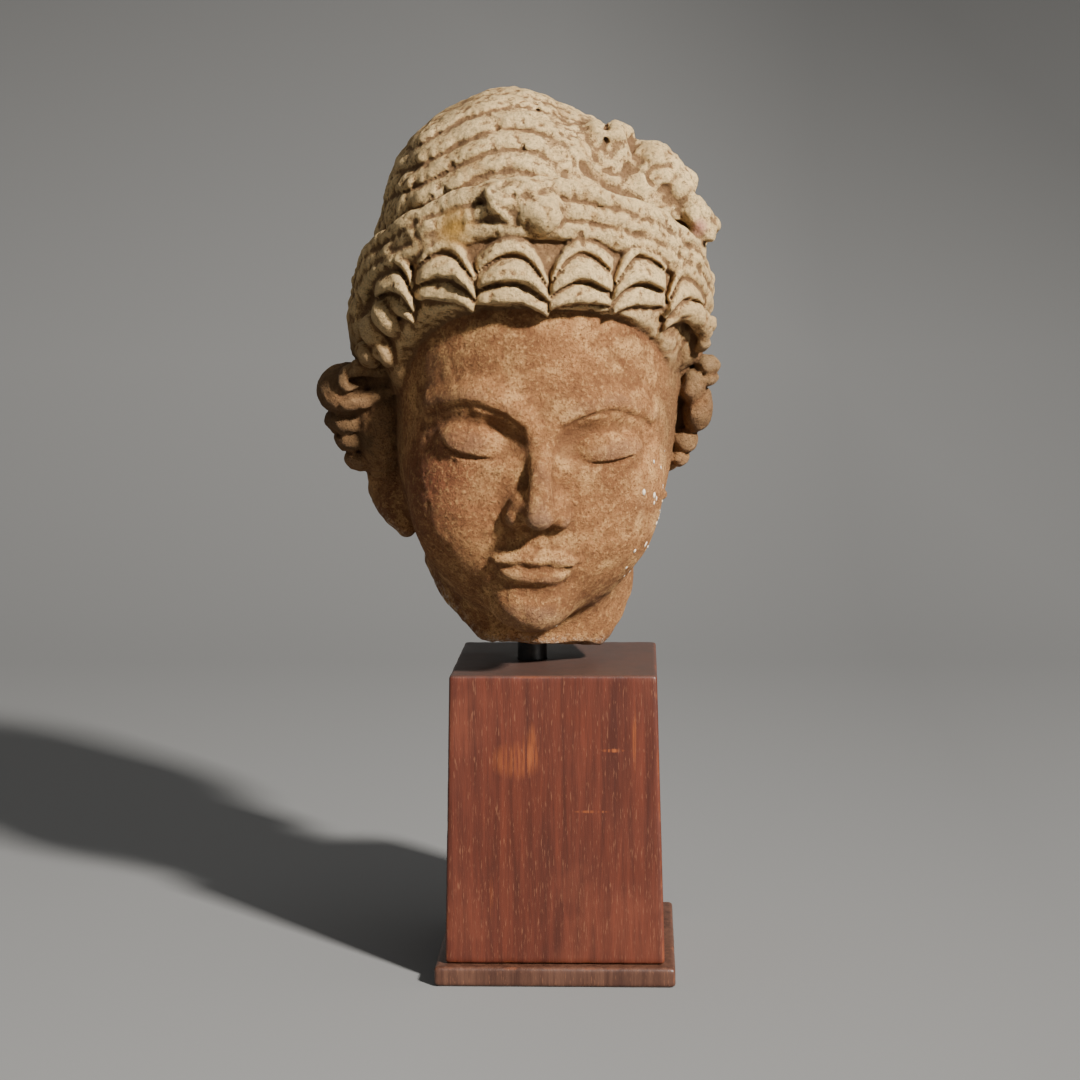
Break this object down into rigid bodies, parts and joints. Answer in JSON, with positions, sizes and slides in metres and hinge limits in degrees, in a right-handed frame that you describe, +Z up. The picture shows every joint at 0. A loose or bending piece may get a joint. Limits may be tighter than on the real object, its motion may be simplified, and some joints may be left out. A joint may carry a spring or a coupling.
{
  "type": "bodhisattva head sculpture on a display block",
  "caption": "Fired clay head of a bodhisattva with dressed hair, broken at the neck, held by a steel rod over a tapered wooden block on a thin base board.",
  "frame": {"origin": "centre of the base board's underside", "axes": "+Z up, the face looks along -Y, +X to the viewer's right"},
  "size_m": [0.1613, 0.1511, 0.3542],
  "materials": {
    "fired_clay": "matt, gritty, with remains of a pale slip on the hair",
    "rod_steel": "satin black",
    "block_wood": "stained and waxed, fine straight grain",
    "board_wood": "stained and waxed, worn along the edges"
  },
  "bodies": {
    "root": {"head": "fired_clay", "mounting_rod": "rod_steel", "wood_block": "block_wood", "base_board": "board_wood"}
  },
  "joints": []
}
